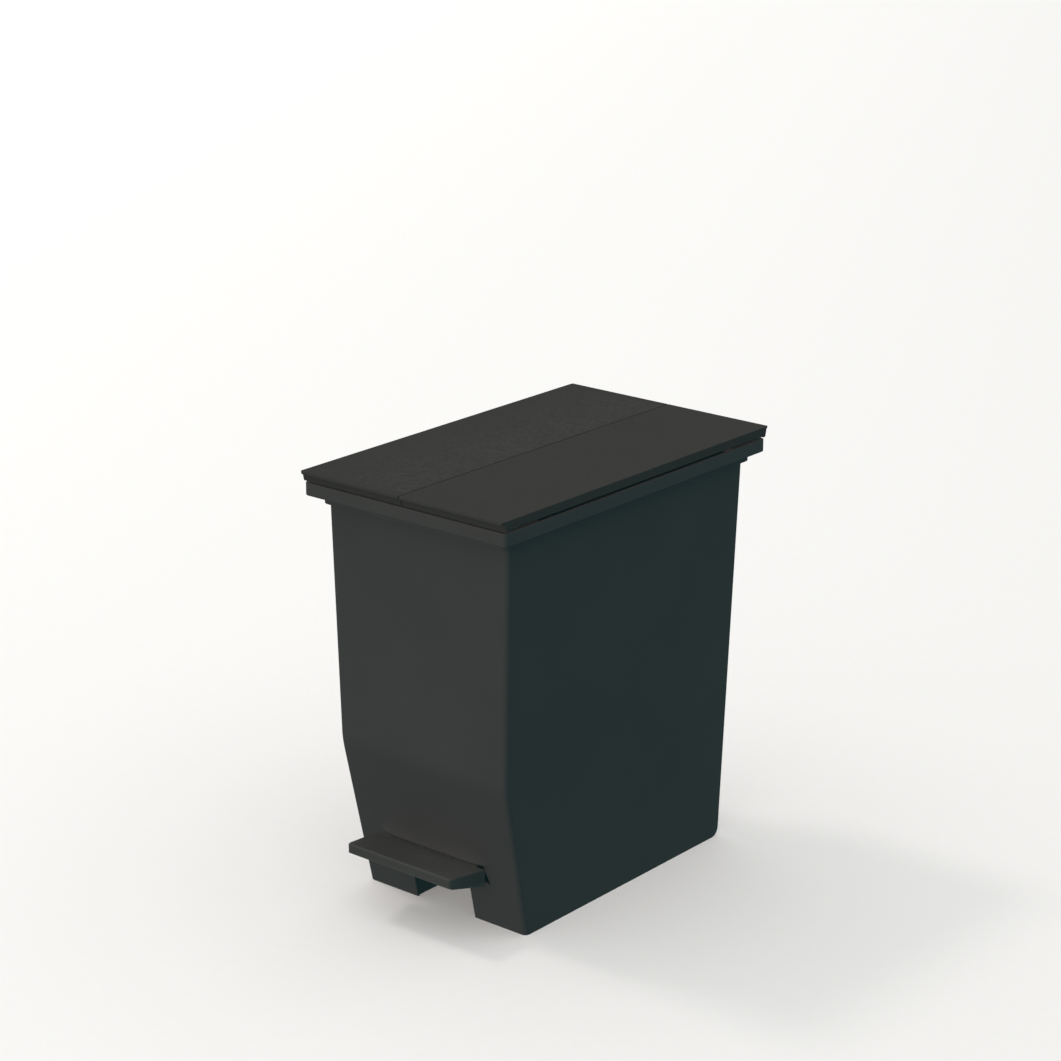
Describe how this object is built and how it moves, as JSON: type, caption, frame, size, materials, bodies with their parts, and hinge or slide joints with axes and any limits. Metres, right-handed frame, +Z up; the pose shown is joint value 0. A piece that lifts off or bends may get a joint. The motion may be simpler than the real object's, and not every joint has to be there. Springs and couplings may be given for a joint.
{
  "type": "pedal bin",
  "caption": "Slim rectangular pedal bin whose two lids open upwards from a centre seam when the front pedal is pressed, with an inner bucket.",
  "frame": {"origin": "on the floor, under the middle of the whole footprint from the pedal's front edge to the lids' rear edge", "axes": "+X to the bin's right-hand side as seen from the pedal, -Y towards the pedal and the user, +Z up"},
  "size_m": [0.237, 0.393, 0.412],
  "materials": {
    "anthracite_body": "fine satin moulded polypropylene",
    "anthracite_frame": "fine satin moulded polypropylene",
    "anthracite_lid": "fine satin moulded polypropylene",
    "anthracite_pedal": "fine satin moulded polypropylene",
    "arm_plastic": "satin glass-filled plastic",
    "bucket_plastic": "satin moulded polypropylene",
    "guide_plastic": "natural low-friction plastic",
    "zinc_steel": "zinc-plated pressed steel",
    "pin_steel": "bright drawn steel",
    "screw_steel": "zinc-plated screws",
    "black_rubber": "matt black rubber"
  },
  "bodies": {
    "body": {"body": "anthracite_body", "frame": "anthracite_frame", "lid_buffers": "black_rubber", "lever_stop": "black_rubber", "pivot_pin": "pin_steel", "pivot_clips": "zinc_steel", "rod_guide_lower": "guide_plastic", "rod_guide_upper": "guide_plastic", "lower_guide_screws": "screw_steel", "upper_guide_screws": "screw_steel", "rod_cover": "anthracite_body", "inner_bucket": "bucket_plastic"},
    "lid_left": {"lid_left": "anthracite_lid", "hinge_pin_left_front": "pin_steel", "hinge_pin_left_rear": "pin_steel", "lift_arm_left": "arm_plastic", "arm_screws_left": "screw_steel"},
    "lid_right": {"lid_right": "anthracite_lid", "hinge_pin_right_front": "pin_steel", "hinge_pin_right_rear": "pin_steel", "lift_arm_right": "arm_plastic", "arm_screws_right": "screw_steel"},
    "pedal": {"pedal": "anthracite_pedal", "pedal_screws": "screw_steel", "lever": "zinc_steel"},
    "push_rod": {"push_rod": "pin_steel", "rod_foot": "guide_plastic", "crosshead": "zinc_steel"}
  },
  "joints": [
    {"name": "lid_left_hinge", "type": "hinge", "parent": "body", "child": "lid_left", "pos_m": [-0.1151, 0.004, 0.4052], "axis": [0, -1, 0], "range_deg": [0, 75]},
    {"name": "lid_right_hinge", "type": "hinge", "parent": "body", "child": "lid_right", "pos_m": [0.1151, 0.004, 0.4052], "axis": [0, 1, 0], "range_deg": [0, 75.5]},
    {"name": "pedal_hinge", "type": "hinge", "parent": "body", "child": "pedal", "pos_m": [0, -0.0565, 0.048], "axis": [1, 0, 0], "range_deg": [0, 7.97]},
    {"name": "rod_slide", "type": "slide", "parent": "body", "child": "push_rod", "axis": [0, 0, 1], "range_m": [0, 0.02932]}
  ],
  "couplings": [
    {"joint": "lid_right_hinge", "follows": "lid_left_hinge", "ratio": 1},
    {"joint": "pedal_hinge", "follows": "lid_left_hinge", "ratio": 0.10557},
    {"joint": "rod_slide", "follows": "lid_left_hinge", "m_per_rad": 0.022323}
  ]
}
